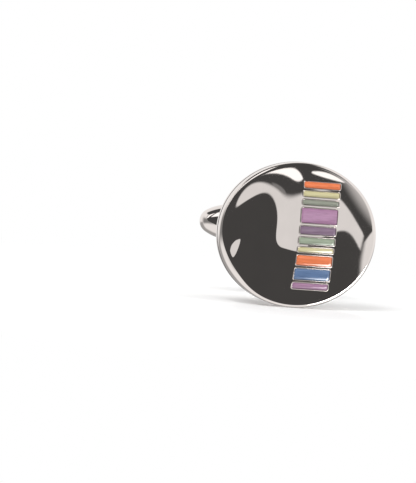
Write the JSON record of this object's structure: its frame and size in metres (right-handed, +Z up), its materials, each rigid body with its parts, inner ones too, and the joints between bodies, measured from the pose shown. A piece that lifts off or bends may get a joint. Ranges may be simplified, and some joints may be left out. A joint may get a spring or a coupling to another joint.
{
  "type": "cufflink",
  "caption": "Mirror-polished oval cufflink with a soft domed face, an off-centre row of coloured enamel bars and a swivelling toggle on a short post.",
  "frame": {"origin": "middle of the head's flat back face, on the post's axis, where the cuff lies", "axes": "+Y from the back face along the post to the toggle, so the face looks along -Y; +X along the oval's long axis, to the right when looking at the face; +Z up the row of bars"},
  "size_m": [0.019, 0.018, 0.017],
  "materials": {
    "polished_metal": "mirror polished plating",
    "spring_steel": "satin",
    "orange_enamel": "glossy enamel",
    "straw_enamel": "glossy enamel",
    "sage_enamel": "glossy enamel",
    "lilac_enamel": "glossy enamel",
    "plum_enamel": "glossy enamel",
    "green_enamel": "glossy enamel",
    "blue_enamel": "glossy enamel"
  },
  "bodies": {
    "head": {"head_shell": "polished_metal", "back_plate": "polished_metal", "post_foot": "polished_metal", "post_stem": "polished_metal", "enamel_01_orange": "orange_enamel", "enamel_02_straw": "straw_enamel", "enamel_03_sage": "sage_enamel", "enamel_04_lilac": "lilac_enamel", "enamel_05_plum": "plum_enamel", "enamel_06_green": "green_enamel", "enamel_07_straw": "straw_enamel", "enamel_08_orange": "orange_enamel", "enamel_09_blue": "blue_enamel", "enamel_10_lilac": "lilac_enamel"},
    "toggle": {"toggle_bar": "polished_metal", "pivot_pin": "polished_metal", "leaf_spring": "spring_steel", "spring_rivet": "polished_metal"}
  },
  "joints": [
    {"name": "toggle_swing", "type": "hinge", "parent": "head", "child": "toggle", "pos_m": [0, 0.0123, 0], "axis": [0, 0, -1], "range_deg": [0, 90]}
  ]
}
